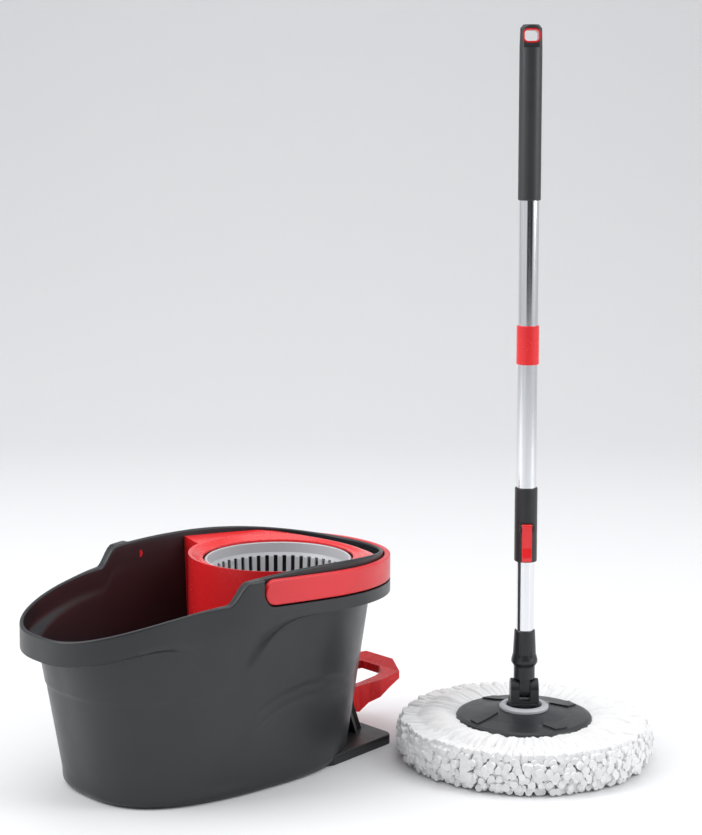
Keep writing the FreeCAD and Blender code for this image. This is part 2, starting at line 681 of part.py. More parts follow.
def ear(side):
    """Upright lug that carries one end of the pedal axle, with a sloping brace."""
    y0 = side * (PEDAL_ARM_HALF + EAR_GAP)
    y1 = y0 + side * EAR_THICK
    low, high = sorted((y0, y1))
    profile = [(POCKET_X + 1.5, PLATE_THICK - 1), (POCKET_X + 1.5, AXLE_Z), (PEDAL_X + EAR_TOP_R, AXLE_Z),
               (PEDAL_X + 22, PLATE_THICK - 1)]
    plate = side_prism(profile, 100).common(block(0, 200, low, high, 0, 120))
    top = cross_rod(EAR_TOP_R, low, high, PEDAL_X, AXLE_Z)
    foot = y1 + side * 13
    y_a, y_b = sorted((y1 - side * 0.5, foot))
    brace = Part.Face(Part.makePolygon([
        vec(PEDAL_X + 2, y1 - side * 0.5, AXLE_Z - 6), vec(PEDAL_X + 2, foot, PLATE_THICK - 1),
        vec(PEDAL_X + 2, y1 - side * 0.5, PLATE_THICK - 1), vec(PEDAL_X + 2, y1 - side * 0.5, AXLE_Z - 6)]))
    brace = brace.extrude(vec(3.5, 0, 0))
    return [plate, top, brace]


def pedal_base():
    """Black plate under the bucket that carries the pedal and the gears."""
    plate = plan_prism(plate_outline(0), 0, PLATE_THICK)
    plate = plate.makeFillet(9.0, edges_where(plate, lambda e: is_upright(e) and e.BoundBox.XMin > 50))
    plate = plate.makeFillet(2.0, edges_where(plate, lambda e: e.BoundBox.ZMin > PLATE_THICK - 0.1))
    well = block(TUNNEL_BACK_X + WALL + 1, POCKET_X + 4, -TUNNEL_HALF_WIDTH + WALL + 1,
                 TUNNEL_HALF_WIDTH - WALL - 1, GEAR_WELL_FLOOR, 30)
    plate = plate.cut(well)
    posts = []
    for y0, y1 in (POST_OUTER, POST_INNER):
        post = side_prism([(-9, 1), (-6, AXLE_Z), (6, AXLE_Z), (9, 1)], 60).common(
            block(-30, 30, y0, y1, 0, 90))
        posts.append(post)
        posts.append(cross_rod(7.0, y0, y1, 0, AXLE_Z))
    parts = [plate] + posts + ear(-1) + ear(1)
    base = fuse_all(parts)
    base = base.cut(cross_rod(AXLE_R, -80, 80, 0, AXLE_Z)).cut(cross_rod(AXLE_R, -80, 80, PEDAL_X, AXLE_Z))
    for x, y in SCREW_PLACES:
        base = base.cut(rod(SCREW_R + 0.2, -1, 20, x, y)).cut(rod(SCREW_R * 2 + 0.3, -1, 4, x, y))
    return base.removeSplitter()


POST_OUTER = (-TUNNEL_HALF_WIDTH + WALL + 1.2, -TUNNEL_HALF_WIDTH + WALL + 4.8)
POST_INNER = (-1.5, 2.5)
SCREW_PLACES = [(PLATE_BACK_X + 10, 62), (PLATE_BACK_X + 10, -62), (20, 80), (20, -80),
                (TUNNEL_BACK_X + 8, 46), (TUNNEL_BACK_X + 8, -46)]


def base_screws():
    screws = []
    for x, y in SCREW_PLACES:
        screws.append(rod(SCREW_R * 2, 1.6, 4, x, y).fuse(rod(SCREW_R, 4, FLOOR_UNDER + SCREW_BITE, x, y)))
    return Part.makeCompound(screws)


def gear_axle():
    return cross_rod(AXLE_R, POST_OUTER[0] + 0.2, POST_INNER[1] + 1.5, 0, AXLE_Z)


def pedal_axle():
    half = PEDAL_ARM_HALF + EAR_GAP + EAR_THICK + 0.5
    axle = cross_rod(AXLE_R, -half, half, PEDAL_X, AXLE_Z)
    return axle.fuse(cross_rod(AXLE_R + 2, -half - 1.8, -half, PEDAL_X, AXLE_Z))


def shaft_seal():
    """Lip seal above the upper bush, round the shaft."""
    z0 = BOSS_TOP + BUSH_FLANGE
    return turned([(SHAFT_R + RUN_GAP, z0), (BOSS_R, z0), (BOSS_R, z0 + 3), (SHAFT_R + 2.4, z0 + 3),
                   (SHAFT_R + RUN_GAP, z0 + 1.6)])


def pedal_spring():
    """Closely wound torsion spring round the pedal's hub, as touching rings."""
    wire = 1.2
    inner = PEDAL_HUB_R + 1.0
    outer = inner + 2 * wire
    waist = outer - 0.5 * wire
    turns = 5
    points = [(inner, 0)]
    for i in range(turns):
        low = 2 * wire * i
        points += [(waist, low), (outer, low + 0.6 * wire), (outer, low + 1.4 * wire)]
    points += [(waist, 2 * wire * turns), (inner, 2 * wire * turns)]
    coil = turned(points)
    coil.rotate(vec(0, 0), X_AXIS, -90)
    coil.translate(vec(PEDAL_X, 6, AXLE_Z))
    return coil


# ---------------------------------------------------------------- mop

def placed(shape):
    """Put a mop piece where it stands."""
    shape.rotate(vec(0, 0), Z_AXIS, MOP_TURN)
    shape.translate(vec(MOP_X, MOP_Y, 0))
    return shape


def mop_strands():
    top = STRANDS_TOP
    gap = 0.8
    return turned([(RING_INNER_R - 20, 4), (RING_INNER_R - 4, 0), (STRANDS_R - 16, 0), (STRANDS_R - 4, 8),
                   (STRANDS_R, 22), (STRANDS_R - 4, 38), (STRANDS_R - 18, 47),
                   (DISC_R + 8, top), (DISC_R + gap, top - 3), (DISC_R + gap, RING_LOW - gap),
                   (RING_INNER_R - 20, RING_LOW - gap)])


RING_LOW = 26.0
RING_HIGH = 34.0


def refill_ring():
    """Plastic ring that the strands are sewn to; it snaps under the mop plate."""
    ring = pipe(RING_OUTER_R, RING_INNER_R, RING_LOW, RING_HIGH)
    neck = pipe(RING_INNER_R + 4, RING_INNER_R, RING_HIGH - 0.5, RING_HIGH + 6)
    return ring.fuse(neck).removeSplitter()


def mop_plate():
    wall = 2.6
    top = [(SPINDLE_SEAT_R, DISC_CROWN), (HUB_RING_R + 3, DISC_CROWN - 0.5), (52, DISC_CROWN - 4.5),
           (DISC_R - 7, DISC_RIM_TOP), (DISC_R - 2.5, DISC_RIM_TOP - 1.6), (DISC_R, DISC_RIM_TOP - 6),
           (DISC_R, DISC_SKIRT_BOTTOM)]
    under = [(DISC_R - wall, DISC_SKIRT_BOTTOM), (DISC_R - wall, DISC_RIM_TOP - 7),
             (DISC_R - 8, DISC_RIM_TOP - wall), (52, DISC_CROWN - 4.5 - wall),
             (HUB_RING_R, DISC_CROWN - wall - 0.5), (SPINDLE_SEAT_R, DISC_CROWN - wall)]
    plate = turned(top + under)
    collar = pipe(RING_INNER_R - 0.3, RING_INNER_R - 3, RING_LOW + 1, DISC_CROWN - 6)
    boss = pipe(SPINDLE_SEAT_R + 3, SPINDLE_SEAT_R, 40, DISC_CROWN)
    fins = []
    for i in range(4):
        fin = plan_prism([(36, -9), (50, -26), (67, -24), (72, -9)], DISC_RIM_TOP, DISC_CROWN + 0.5)
        fin.rotate(vec(0, 0), Z_AXIS, 90 * i + 45)
        fins.append(fin)
    crown = turned([(0, DISC_CROWN - 8), (0, DISC_CROWN + 2), (HUB_RING_R + 3, DISC_CROWN + 1.4),
                    (52, DISC_CROWN - 2.6), (DISC_R - 7, DISC_RIM_TOP + 1.6), (DISC_R - 7, DISC_RIM_TOP - 1.5),
                    (52, DISC_CROWN - 6)])
    fins = [fin.common(crown) for fin in fins]
    return fuse_all([plate, collar, boss] + fins)


SPINDLE_SEAT_R = 12.0


def hub_ring():
    """Pale ring round the foot of the yoke, pressed on the plate."""
    z0 = DISC_CROWN
    return turned([(SPINDLE_SEAT_R + 8.2, z0), (HUB_RING_R, z0), (HUB_RING_R, z0 + 2.5),
                   (HUB_RING_R - 2.0, z0 + 4.6), (SPINDLE_SEAT_R + 9.5, z0 + 4.6), (SPINDLE_SEAT_R + 8.2, z0 + 3.4)])


def swivel_bush():
    """Nylon bush pressed in the plate; the yoke's spindle turns in it."""
    bush = pipe(SPINDLE_SEAT_R, SPINDLE_R + RUN_GAP, 41, DISC_CROWN + 0.5)
    return bush


SPINDLE_R = 7.0


def swivel_yoke():
    """Block with a spindle below and a fork above for the handle's tongue."""
    half = YOKE_WIDTH / 2
    depth = YOKE_TOP_R
    core = block(-half, half, -depth, depth, YOKE_BOTTOM, TILT_Z)
    for_round = Part.makeCylinder(YOKE_TOP_R, YOKE_WIDTH, vec(-half, 0, TILT_Z), X_AXIS)
    foot = block(-half - 1.5, half + 1.5, -depth - 1.5, depth + 1.5, YOKE_BOTTOM, YOKE_BOTTOM + 3)
    body = core.fuse(for_round)
    body = body.makeFillet(1.2, edges_where(body, is_upright))
    foot = foot.makeFillet(3.0, edges_where(foot, is_upright))
    neck = rod(SPINDLE_SEAT_R + 3, DISC_CROWN + 1.0, YOKE_BOTTOM + 0.5)
    spindle = rod(SPINDLE_R, 42, YOKE_BOTTOM + 1)
    body = fuse_all([body, foot, neck, spindle])
    slot = block(-TONGUE_THICK / 2 - 0.4, TONGUE_THICK / 2 + 0.4, -30, 30, TILT_Z - TONGUE_R - 1.2, 120)
    body = body.cut(slot)
    body = body.cut(Part.makeCylinder(PIN_R, 60, vec(-30, 0, TILT_Z), X_AXIS))
    return body.cut(rod(BOLT_R, 30, 59)).removeSplitter()


TONGUE_R = 10.0
BOLT_R = 2.5


def hub_bolt():
    """Screw and washer from below that hold the plate on the yoke's spindle."""
    return fuse_all([rod(BOLT_R, 36, 58), rod(SPINDLE_SEAT_R - 1, 39.6, 41 - 0.2), rod(5, 35, 39.6)])


def tilt_pin():
    return Part.makeCylinder(PIN_R, YOKE_WIDTH - 2, vec(-YOKE_WIDTH / 2 + 1, 0, TILT_Z), X_AXIS)


def connector_sleeve():
    """Tapered socket between the fork and the lower tube."""
    tongue = block(-TONGUE_THICK / 2, TONGUE_THICK / 2, -TONGUE_R, TONGUE_R, TILT_Z, SLEEVE_LOW + 1)
    knob = Part.makeCylinder(TONGUE_R, TONGUE_THICK, vec(-TONGUE_THICK / 2, 0, TILT_Z), X_AXIS)
    body = turned([(0, SLEEVE_LOW), (12.3, SLEEVE_LOW), (12.3, 107), (15.3, 112), (15.3, 115), (13.4, 122),
                   (12.1, CONNECTOR_TOP - 1), (11.4, CONNECTOR_TOP), (0, CONNECTOR_TOP)])
    grooves = []
    for i in range(6):
        groove = Part.makeCylinder(1.1, 24, vec(13.6, 0, 119))
        groove.rotate(vec(0, 0), Z_AXIS, 60 * i)
        grooves.append(groove)
    sleeve = fuse_all([tongue, knob, body]).cut(Part.makeCompound(grooves))
    sleeve = sleeve.cut(rod(LOWER_TUBE_R, TUBE_SEAT, CONNECTOR_TOP + 5))
    return sleeve.cut(Part.makeCylinder(PIN_R + RUN_GAP, 60, vec(-30, 0, TILT_Z), X_AXIS)).removeSplitter()


SLEEVE_LOW = TILT_Z + YOKE_TOP_R + 1.0
TUBE_SEAT = 100.0


def lower_tube():
    return pipe(LOWER_TUBE_R, LOWER_TUBE_R - TUBE_WALL, TUBE_SEAT, LOWER_TUBE_TOP)


def tube_guide():
    """Nylon plug in the top of the lower tube that slides inside the outer tubes."""
    bore = OUTER_TUBE_R - TUBE_WALL
    return rod(bore - RUN_GAP, LOWER_TUBE_TOP, LOWER_TUBE_TOP + 14).fuse(
        rod(LOWER_TUBE_R - TUBE_WALL, LOWER_TUBE_TOP - 16, LOWER_TUBE_TOP)).removeSplitter()


def middle_tube():
    return pipe(OUTER_TUBE_R, OUTER_TUBE_R - TUBE_WALL, CLAMP_TOP - 32, TUBE_JOINT)


TUBE_JOINT = (COLLAR_LOW + COLLAR_HIGH) / 2


def upper_tube():
    return pipe(OUTER_TUBE_R, OUTER_TUBE_R - TUBE_WALL, TUBE_JOINT, MOP_TOP - 32)


def tube_collar():
    return turned([(OUTER_TUBE_R, COLLAR_LOW), (COLLAR_R - 0.5, COLLAR_LOW), (COLLAR_R, COLLAR_LOW + 0.6),
                   (COLLAR_R, COLLAR_HIGH - 0.6), (COLLAR_R - 0.5, COLLAR_HIGH), (OUTER_TUBE_R, COLLAR_HIGH)])


def clamp_body():
    """Collar at the foot of the outer tube, with a seat for the clamping lever."""
    body = turned([(0, CLAMP_BOTTOM), (CLAMP_R - 0.6, CLAMP_BOTTOM), (CLAMP_R, CLAMP_BOTTOM + 0.8),
                   (CLAMP_R, CLAMP_TOP - 1), (CLAMP_R - 0.8, CLAMP_TOP), (0, CLAMP_TOP)])
    lugs = []
    for side in (-1, 1):
        x0, x1 = sorted((side * (LEVER_WIDTH / 2 + 0.5), side * (LEVER_WIDTH / 2 + 2.6)))
        lug = block(x0, x1, -CLAMP_R - 3.4, -CLAMP_R + 4, LEVER_HIGH - 9, LEVER_HIGH)
        lugs.append(lug.makeFillet(2.5, edges_where(lug, lambda e: e.BoundBox.XLength > 1
                                                    and e.BoundBox.YMin < -CLAMP_R - 3)))
    seat = block(-LEVER_WIDTH / 2 - 0.5, LEVER_WIDTH / 2 + 0.5, -30, -COLLET_R - 0.9,
                 LEVER_LOW - 10, LEVER_HIGH + 0.6)
    body = fuse_all([body] + lugs).cut(seat)
    body = body.cut(rod(OUTER_TUBE_R, CLAMP_TOP - 32, CLAMP_TOP + 1))
    body = body.cut(rod(COLLET_R, CLAMP_BOTTOM - 1, CLAMP_TOP - 31))
    return body.cut(Part.makeCylinder(LEVER_PIN_R, 60, vec(-30, LEVER_PIN_Y, LEVER_PIN_Z), X_AXIS))


COLLET_R = 11.3
LEVER_PIN_R = 1.2
LEVER_HEAD_R = 2.3
LEVER_PIN_Y = -COLLET_R - 0.9 - LEVER_HEAD_R - 0.2
LEVER_PIN_Z = LEVER_HIGH - LEVER_HEAD_R - 0.2


def clamp_collet():
    """Split nylon ring that the lever squeezes onto the lower tube."""
    ring = pipe(COLLET_R, LOWER_TUBE_R + RUN_GAP, CLAMP_BOTTOM + 1, CLAMP_TOP - 33)
    return ring.cut(block(-1, 1, 0, 30, CLAMP_BOTTOM, CLAMP_TOP))


def clamp_lever():
    """Red lever: pivots in its round head and presses the collet when shut."""
    half = LEVER_WIDTH / 2
    front = LEVER_PIN_Y - LEVER_HEAD_R
    back = LEVER_PIN_Y + LEVER_HEAD_R
    side = [(front, LEVER_PIN_Z), (front - 0.1, LEVER_LOW + 16), (front - 1.6, LEVER_LOW + 5),
            (front - 1.0, LEVER_LOW), (back - 1.5, LEVER_LOW), (back - 0.2, LEVER_LOW + 4), (back, LEVER_PIN_Z)]
    profile = Part.Face(Part.makePolygon([vec(-half, y, z) for y, z in side + side[:1]]))
    lever = profile.extrude(vec(2 * half, 0, 0))
    head = Part.makeCylinder(LEVER_HEAD_R, 2 * half, vec(-half, LEVER_PIN_Y, LEVER_PIN_Z), X_AXIS)
    lever = lever.fuse(head).removeSplitter()
    lever = lever.makeFillet(0.6, edges_where(lever, lambda e: e.BoundBox.XLength < 0.01
                                              and e.BoundBox.YMax < LEVER_PIN_Y
                                              and e.BoundBox.ZMax < LEVER_PIN_Z - 20))
    return lever.cut(Part.makeCylinder(LEVER_PIN_R + RUN_GAP, 60, vec(-30, LEVER_PIN_Y, LEVER_PIN_Z), X_AXIS))


def lever_pin():
    half = LEVER_WIDTH / 2 + 2.4
    return Part.makeCylinder(LEVER_PIN_R, 2 * half, vec(-half, LEVER_PIN_Y, LEVER_PIN_Z), X_AXIS)


def handle_grip():
    """Long grip that closes at the top in a flat loop for hanging."""
    body = turned([(0, GRIP_LOW), (GRIP_R - 0.8, GRIP_LOW), (GRIP_R, GRIP_LOW + 1.2), (GRIP_R, MOP_TOP - 26),
                   (GRIP_R - 0.6, MOP_TOP - 4), (GRIP_R - 4, MOP_TOP), (0, MOP_TOP)])
    flat = block(-30, 30, -LOOP_DEPTH / 2, LOOP_DEPTH / 2, MOP_TOP - 30, MOP_TOP + 1)
    lower = block(-30, 30, -30, 30, 0, MOP_TOP - 26)
    body = body.common(flat.fuse(lower))
    hole = loop_prism(LOOP_TRIM)
    body = body.cut(hole)
    return body.cut(rod(OUTER_TUBE_R, GRIP_LOW - 1, MOP_TOP - 32))


LOOP_DEPTH = 19.0
LOOP_TRIM = 1.8
LOOP_Z = MOP_TOP - 6.4 - LOOP_HOLE_HEIGHT / 2


def loop_prism(grow):
    half_x = LOOP_HOLE_WIDTH / 2 + grow
    half_z = LOOP_HOLE_HEIGHT / 2 + grow
    prism = block(-half_x, half_x, -30, 30, LOOP_Z - half_z, LOOP_Z + half_z)
    return prism.makeFillet(4.0 + grow, edges_where(prism, lambda e: e.BoundBox.YLength > 50))


def hang_loop():
    """Red lining of the hanging hole, a little proud of the grip on both sides."""
    ring = loop_prism(LOOP_TRIM).cut(loop_prism(0))
    return ring.common(block(-30, 30, -LOOP_DEPTH / 2 - 0.6, LOOP_DEPTH / 2 + 0.6, 0, MOP_TOP))


# ---------------------------------------------------------------- write the pieces

BUCKET_PIECES = {
    "bucket_body": bucket_body,
    "bucket_handle": bucket_handle,
    "splash_guard": splash_guard,
    "wringer_basket": wringer_basket,
    "basket_hub": basket_hub,
    "one_way_clutch": one_way_clutch,
    "drive_shaft": drive_shaft,
    "drive_pinion": drive_pinion,
    "compound_gear": compound_gear,
    "sector_gear": sector_gear,
    "pedal": pedal,
    "pedal_base": pedal_base,
    "base_screws": base_screws,
    "gear_axle": gear_axle,
    "pedal_axle": pedal_axle,
    "pedal_spring": pedal_spring,
    "lower_bush": lower_bush,
    "upper_bush": upper_bush,
    "shaft_seal": shaft_seal,
    "hub_screws": hub_screws,
}
MOP_PIECES = {
    "mop_strands": mop_strands,
    "refill_ring": refill_ring,
    "mop_plate": mop_plate,
    "hub_ring": hub_ring,
    "swivel_bush": swivel_bush,
    "swivel_yoke": swivel_yoke,
    "hub_bolt": hub_bolt,
    "tilt_pin": tilt_pin,
    "connector_sleeve": connector_sleeve,
    "lower_tube": lower_tube,
    "tube_guide": tube_guide,
    "middle_tube": middle_tube,
    "upper_tube": upper_tube,
    "tube_collar": tube_collar,
    "clamp_body": clamp_body,
    "clamp_collet": clamp_collet,
    "clamp_lever": clamp_lever,
    "lever_pin": lever_pin,
    "handle_grip": handle_grip,
    "hang_loop": hang_loop,
}

os.makedirs("parts", exist_ok=True)
for name, make in BUCKET_PIECES.items():
    save(name, make())
for name, make in MOP_PIECES.items():
    save(name, placed(make()))
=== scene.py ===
"""Spin mop set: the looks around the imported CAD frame. Metres, +Z up."""
import json
import math
import random

import bmesh
import bpy
import numpy as np
from mathutils import Matrix, Vector


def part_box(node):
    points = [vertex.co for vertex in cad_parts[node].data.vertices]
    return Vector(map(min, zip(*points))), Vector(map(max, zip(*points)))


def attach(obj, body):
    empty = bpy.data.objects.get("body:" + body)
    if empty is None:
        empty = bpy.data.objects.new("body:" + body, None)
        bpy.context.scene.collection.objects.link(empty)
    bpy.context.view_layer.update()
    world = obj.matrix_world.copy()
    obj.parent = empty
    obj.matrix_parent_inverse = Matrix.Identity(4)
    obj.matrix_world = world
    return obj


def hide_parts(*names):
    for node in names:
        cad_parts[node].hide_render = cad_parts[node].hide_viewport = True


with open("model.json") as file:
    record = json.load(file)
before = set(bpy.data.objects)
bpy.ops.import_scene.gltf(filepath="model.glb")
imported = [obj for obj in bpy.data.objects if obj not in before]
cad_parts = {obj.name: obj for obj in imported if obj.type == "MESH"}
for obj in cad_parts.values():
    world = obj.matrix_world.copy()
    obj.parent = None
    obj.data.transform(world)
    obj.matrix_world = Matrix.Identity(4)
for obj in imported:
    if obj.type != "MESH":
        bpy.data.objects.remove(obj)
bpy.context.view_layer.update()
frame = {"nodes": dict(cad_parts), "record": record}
MM = 0.001

# ---------------------------------------------------------------- camera

EYE = Vector((-1.3946, -1.6854, 0.7190))
LENS = 80.87
YAW = math.radians(41.84)
PITCH = math.radians(4.65)
ROLL = math.radians(-0.18)
LENS_SHIFT = -0.15      # the picture is framed with a rising lens, so its uprights stay upright


def add_camera():
    data = bpy.data.cameras.new("camera")
    data.sensor_fit = "AUTO"
    data.sensor_width = 36.0
    data.lens = LENS
    data.shift_y = LENS_SHIFT
    data.clip_end = 60.0
    camera = bpy.data.objects.new("camera", data)
    camera.location = EYE
    aim = Matrix.Rotation(-YAW, 4, "Z") @ Matrix.Rotation(math.pi / 2 - PITCH, 4, "X")
    camera.rotation_euler = (aim @ Matrix.Rotation(-ROLL, 4, "Z")).to_euler()
    bpy.context.scene.collection.objects.link(camera)
    bpy.context.scene.camera = camera


# ---------------------------------------------------------------- materials

def new_material(name):
    material = bpy.data.materials.new(name)
    material.use_nodes = True
    nodes = material.node_tree.nodes
    shader = nodes["Principled BSDF"]
    return material, nodes, material.node_tree.links, shader


def noise(nodes, links, scale, detail=4.0, stretch=(1, 1, 1)):
    """Noise on object coordinates; returns its factor socket."""
    place = nodes.new("ShaderNodeTexCoord")
    mapping = nodes.new("ShaderNodeMapping")
    mapping.inputs["Scale"].default_value = stretch
    texture = nodes.new("ShaderNodeTexNoise")
    texture.inputs["Scale"].default_value = scale
    texture.inputs["Detail"].default_value = detail
    links.new(place.outputs["Object"], mapping.inputs["Vector"])
    links.new(mapping.outputs["Vector"], texture.inputs["Vector"])
    return texture.outputs["Fac"]


def spread(nodes, links, factor, low, high):
    """Map a 0.3 to 0.7 factor to low to high."""
    ranger = nodes.new("ShaderNodeMapRange")
    ranger.inputs["From Min"].default_value = 0.3
    ranger.inputs["From Max"].default_value = 0.7
    ranger.inputs["To Min"].default_value = low
    ranger.inputs["To Max"].default_value = high
    links.new(factor, ranger.inputs["Value"])
    return ranger.outputs["Result"]


def tinted(nodes, links, factor, dark, light):
    ramp = nodes.new("ShaderNodeValToRGB")
    ramp.color_ramp.elements[0].position = 0.3
    ramp.color_ramp.elements[1].position = 0.7
    ramp.color_ramp.elements[0].color = (*dark, 1)
    ramp.color_ramp.elements[1].color = (*light, 1)
    links.new(factor, ramp.inputs["Fac"])
    return ramp.outputs["Color"]


def bump(nodes, links, height, strength, distance, shader):
    node = nodes.new("ShaderNodeBump")
    node.inputs["Strength"].default_value = strength
    node.inputs["Distance"].default_value = distance
    links.new(height, node.inputs["Height"])
    links.new(node.outputs["Normal"], shader.inputs["Normal"])


def plastic(name, color, rough, grain=900.0, grain_depth=0.00004, coat=0.0, vary=0.08):
    """Moulded plastic: fine grain, faint flow variation in colour, uneven roughness."""
    material, nodes, links, shader = new_material(name)
    cloud = noise(nodes, links, 9.0, 3.0)
    dark = [c * (1 - vary) for c in color]
    light = [c * (1 + vary) for c in color]
    links.new(tinted(nodes, links, cloud, dark, light), shader.inputs["Base Color"])
    smear = noise(nodes, links, 60.0, 5.0)
    links.new(spread(nodes, links, smear, rough * 0.88, rough * 1.12), shader.inputs["Roughness"])
    bump(nodes, links, noise(nodes, links, grain, 2.0), 0.35, grain_depth, shader)
    shader.inputs["Coat Weight"].default_value = coat
    shader.inputs["Coat Roughness"].default_value = 0.12
    return material


def bright_tube(name):
    """Polished chromed tube with faint drawing lines along it."""
    material, nodes, links, shader = new_material(name)
    shader.inputs["Metallic"].default_value = 1.0
    lines = noise(nodes, links, 420.0, 2.0, (1, 1, 0.01))
    metal = tinted(nodes, links, lines, (0.74, 0.75, 0.77), (0.84, 0.85, 0.87))
    links.new(metal, shader.inputs["Base Color"])
    links.new(spread(nodes, links, lines, 0.10, 0.17), shader.inputs["Roughness"])
    bump(nodes, links, lines, 0.15, 0.00002, shader)
    return material


def steel(name):
    material, nodes, links, shader = new_material(name)
    shader.inputs["Metallic"].default_value = 1.0
    lines = noise(nodes, links, 700.0, 2.0, (1, 0.05, 1))
    metal = tinted(nodes, links, lines, (0.45, 0.46, 0.48), (0.60, 0.61, 0.63))
    links.new(metal, shader.inputs["Base Color"])
    links.new(spread(nodes, links, lines, 0.22, 0.34), shader.inputs["Roughness"])
    return material


def microfibre(name):
    """White looped yarn: matt, a little see-through, with fine twisted fibres."""
    material, nodes, links, shader = new_material(name)
    fibres = noise(nodes, links, 1400.0, 6.0)
    clumps = noise(nodes, links, 70.0, 3.0)
    mix = nodes.new("ShaderNodeMath")
    mix.operation = "ADD"
    half = nodes.new("ShaderNodeMath")
    half.operation = "MULTIPLY"
    half.inputs[1].default_value = 0.5
    links.new(fibres, mix.inputs[0])
    links.new(clumps, mix.inputs[1])
    links.new(mix.outputs[0], half.inputs[0])
    links.new(tinted(nodes, links, half.outputs[0], (0.80, 0.80, 0.80), (0.93, 0.93, 0.93)),
              shader.inputs["Base Color"])
    shader.inputs["Roughness"].default_value = 0.92
    shader.inputs["Subsurface Weight"].default_value = 0.25
    shader.inputs["Subsurface Radius"].default_value = (0.004, 0.004, 0.004)
    shader.inputs["Sheen Weight"].default_value = 0.35
    bump(nodes, links, fibres, 0.6, 0.0004, shader)
    return material


MATERIALS = {
    "bucket": plastic("bucket_plastic", (0.019, 0.021, 0.024), 0.34, 1100.0, 0.00004, vary=0.10),
    "red": plastic("red_plastic", (0.80, 0.018, 0.022), 0.26, 700.0, 0.00002, coat=0.25),
    "red_handle": plastic("red_handle_plastic", (0.70, 0.022, 0.030), 0.36, 900.0, 0.00003, coat=0.1),
    "basket": plastic("basket_plastic", (0.55, 0.56, 0.58), 0.38, 900.0, 0.00003),
    "black": plastic("black_plastic", (0.016, 0.017, 0.019), 0.36, 900.0, 0.00004),
    "plate": plastic("plate_plastic", (0.022, 0.024, 0.027), 0.36, 900.0, 0.00004),
    "gear": plastic("natural_acetal", (0.72, 0.70, 0.64), 0.42, 900.0, 0.00003),
    "ring": plastic("pale_plastic", (0.50, 0.51, 0.54), 0.35, 900.0, 0.00003),
    "grip": plastic("grip_plastic", (0.030, 0.033, 0.036), 0.42, 1200.0, 0.00006),
    "seal": plastic("seal_rubber", (0.02, 0.02, 0.02), 0.7, 500.0, 0.00006),
    "tube": bright_tube("bright_tube"),
    "steel": steel("ground_steel"),
    "strands": microfibre("microfibre"),
}


def dress_nodes():
    """Give every CAD node the material of its slot."""
    slots = {part["node"]: part["material_slot"] for part in frame["record"]["subparts"]}
    for name, node in frame["nodes"].items():
        node.data.materials.clear()
        node.data.materials.append(MATERIALS[slots[name]])


# ---------------------------------------------------------------- bucket shell

RIM = {"widest_x": -42.0, "half_width": 127.5, "spout": 290.5, "end": 169.5,
       "spout_power": 2.7, "end_power": 2.15}
WALL_TOP = {"widest_x": -48.0, "half_width": 125.0, "spout": 272.0, "end": 160.0,
            "spout_power": 2.7, "end_power": 2.15}
BASE = {"widest_x": -90.0, "half_width": 114.0, "spout": 185.0, "end": 160.0,
        "spout_power": 2.7, "end_power": 2.3}
WALL_TOP_Z = 216.0
WALL = 2.4
LIP = 4.6
BASE_ROUND = 8.0
FOOT_RING = 3.4
FLOOR_UNDER = 12.6
FLOOR_TOP = 15.2
SHOULDER = 8.7
PIVOT_X = -113.0
PIVOT_Z = 227.0
RECESS_R = 16.0
BAND_SLOPE = math.tan(math.radians(2.8))
SHOULDER_THICK = 14.0
BAND_HEIGHT = 27.0
STEP_LOW_X = -172.0
STEP_HIGH_X = -147.0
LOW_RIM = 219.2
SPOUT_DIP = 29.5
RIM_CREST = 245.5
RIM_CREST_X = -60.0
RIM_ARCH_R = 1087.0
POCKET_X = 61.5
POCKET_HALF = 54.0
POCKET_TOP = 66.0
LIP_TOP = 2.2           # height of the rounded part of the lip
EDGE = 0.35             # small bevel at the recess
CAP_SHARE = 0.3         # size of the flat cap rows against their outline
CAP_MIDDLE_X = -78.0
FLOOR_FILLET = 7.0
WALL_ROWS = 70
OUTER_ROWS = 105        # rows after this one belong to the lip and the inside
TUNNEL_BACK_X = -48.0
TUNNEL_HALF = 32.0
TUNNEL_TOP = 96.0
TUNNEL_CUT_LOW = 3.0    # below the floor, so that the cut goes through it
DOORWAY_TOP = 62.0
DOORWAY_OUT_X = 80.0
PLATE_TOP = 11.4
KEPT_SHARE = 0.6


def smooth(t):
    t = np.clip(t, 0.0, 1.0)
    return t * t * (3 - 2 * t)


def plan_values(angle, top_plan, share):
    """Outline values between the base plan and another, as arrays."""
    c = np.cos(angle)
    front = c < 0
    out = {}
    for key in ("widest_x", "half_width"):
        out[key] = BASE[key] + (top_plan[key] - BASE[key]) * share
    for end, key in (("spout", "reach"), ("spout_power", "power")):
        other = "end" if end == "spout" else "end_power"
        low = np.where(front, BASE[end], BASE[other])
        high = np.where(front, top_plan[end], top_plan[other])
        out[key] = low + (high - low) * share
    return out


def outline(angle, top_plan, share, offset):
    """Points of an outline moved outwards by offset, in millimetres."""
    v = plan_values(angle, top_plan, share)
    c, s = np.cos(angle), np.sin(angle)
    power = v["power"]
    along = np.sign(c) * np.abs(c) ** (2 / power)
    across = np.sign(s) * np.abs(s) ** (2 / power)
    nx = np.sign(along) * np.abs(along) ** (power - 1) / v["reach"]
    ny = np.sign(across) * np.abs(across) ** (power - 1) / v["half_width"]
    size = np.hypot(nx, ny)
    x = v["widest_x"] + v["reach"] * along + offset * nx / size
    y = v["half_width"] * across + offset * ny / size
    return x, y


